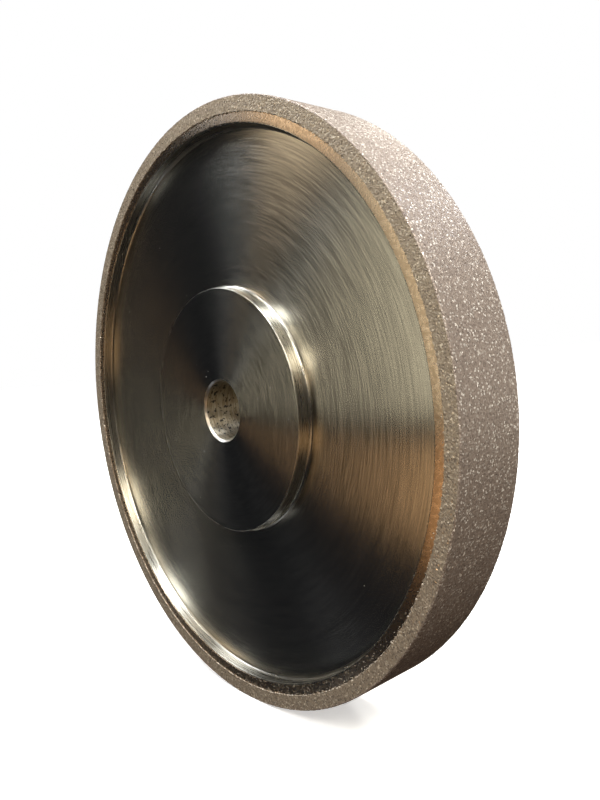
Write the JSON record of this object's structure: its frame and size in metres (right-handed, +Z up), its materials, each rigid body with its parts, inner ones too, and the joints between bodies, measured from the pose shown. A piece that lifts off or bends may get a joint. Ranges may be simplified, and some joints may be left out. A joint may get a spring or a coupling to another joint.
{
  "type": "diamond grinding wheel",
  "caption": "Flat-rimmed steel grinding wheel with a dished web, a raised hub and a plain bore, plated with nickel-bonded diamond grit on the rim and both rim sides.",
  "frame": {"origin": "centre of the wheel: on the spin axis, midway between the two hub faces", "axes": "+Y along the spin axis from front to back, front faces -Y; +Z up; X across the wheel"},
  "size_m": [0.2, 0.0266, 0.2],
  "materials": {
    "turned_steel": "bright face-turned steel, fine concentric tool marks, mirror-bright in the fillets",
    "rim_grit": "coarse diamond grit half buried in nickel, sparkling, rough to the touch",
    "side_grit": "diamond grit half buried in nickel, duller and browner than on the rim",
    "plated_nickel": "smooth bright nickel plate with a slight waviness"
  },
  "bodies": {
    "root": {"wheel_core": "turned_steel", "rim_abrasive_band": "rim_grit", "front_abrasive_band": "side_grit", "back_abrasive_band": "side_grit", "front_nickel_land": "plated_nickel", "back_nickel_land": "plated_nickel"}
  },
  "joints": []
}
